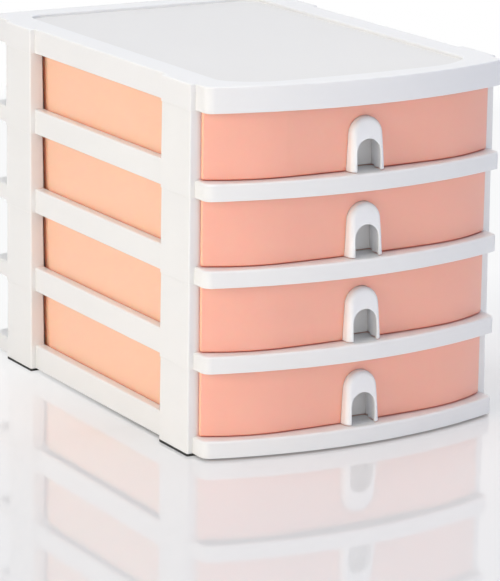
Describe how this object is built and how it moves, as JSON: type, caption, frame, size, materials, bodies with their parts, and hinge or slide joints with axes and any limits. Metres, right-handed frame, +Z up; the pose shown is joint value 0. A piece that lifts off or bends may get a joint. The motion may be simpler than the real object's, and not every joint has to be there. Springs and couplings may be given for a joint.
{
  "type": "desktop mini drawers",
  "caption": "Stacked desktop organizer with bow-fronted pull-out drawers, clip-in finger-pull handles, open side windows, a recessed top cover and pad feet.",
  "frame": {"origin": "middle of the bounding box, on the surface that the feet stand on", "axes": "+X to the right as seen from the front, +Y from the front to the back, +Z up"},
  "size_m": [0.206, 0.2924, 0.2165],
  "materials": {
    "white_plastic": "glossy injection-moulded white",
    "peach_plastic": "satin injection-moulded peach",
    "foot_rubber": "matt black"
  },
  "bodies": {
    "carcass": {"tier_1": "white_plastic", "tier_2": "white_plastic", "tier_3": "white_plastic", "tier_4": "white_plastic", "top_cover": "white_plastic", "foot_front_left": "foot_rubber", "foot_front_right": "foot_rubber", "foot_rear_left": "foot_rubber", "foot_rear_right": "foot_rubber"},
    "drawer_1_body": {"drawer_1": "peach_plastic", "handle_1": "white_plastic"},
    "drawer_2_body": {"drawer_2": "peach_plastic", "handle_2": "white_plastic"},
    "drawer_3_body": {"drawer_3": "peach_plastic", "handle_3": "white_plastic"},
    "drawer_4_body": {"drawer_4": "peach_plastic", "handle_4": "white_plastic"}
  },
  "joints": [
    {"name": "drawer_1_slide", "type": "slide", "parent": "carcass", "child": "drawer_1_body", "axis": [0, -1, 0], "range_m": [0, 0.165]},
    {"name": "drawer_2_slide", "type": "slide", "parent": "carcass", "child": "drawer_2_body", "axis": [0, -1, 0], "range_m": [0, 0.165]},
    {"name": "drawer_3_slide", "type": "slide", "parent": "carcass", "child": "drawer_3_body", "axis": [0, -1, 0], "range_m": [0, 0.165]},
    {"name": "drawer_4_slide", "type": "slide", "parent": "carcass", "child": "drawer_4_body", "axis": [0, -1, 0], "range_m": [0, 0.165]}
  ]
}
